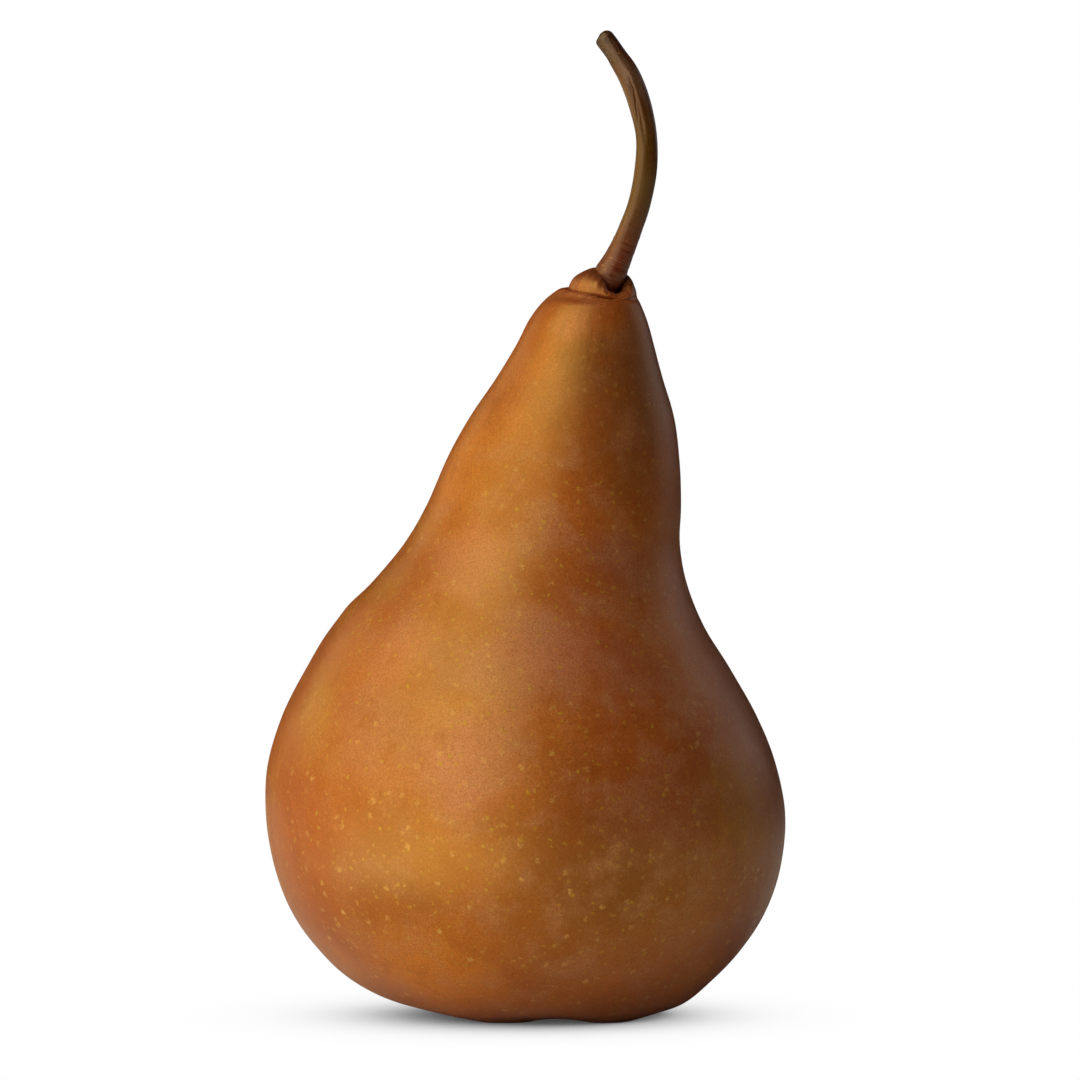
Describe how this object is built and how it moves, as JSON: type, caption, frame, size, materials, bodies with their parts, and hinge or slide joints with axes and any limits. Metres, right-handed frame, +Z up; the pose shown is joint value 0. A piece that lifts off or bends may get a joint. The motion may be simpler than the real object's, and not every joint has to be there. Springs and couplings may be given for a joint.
{
  "type": "pear",
  "caption": "Whole long-necked russet pear standing on its base, with a leaning neck, a fleshy lump beside its long curved stem, and a dried calyx beneath.",
  "frame": {"origin": "on the surface the pear stands on, under the middle of its bounding box", "axes": "+Z up through the neck and stem, +X towards the side the neck leans to, +Y towards the back"},
  "size_m": [0.072, 0.0698, 0.1365],
  "materials": {
    "skin": "satin",
    "bark": "satin",
    "dried_flower": "matte"
  },
  "bodies": {
    "root": {"body": "skin", "stem": "bark", "calyx": "dried_flower"}
  },
  "joints": []
}
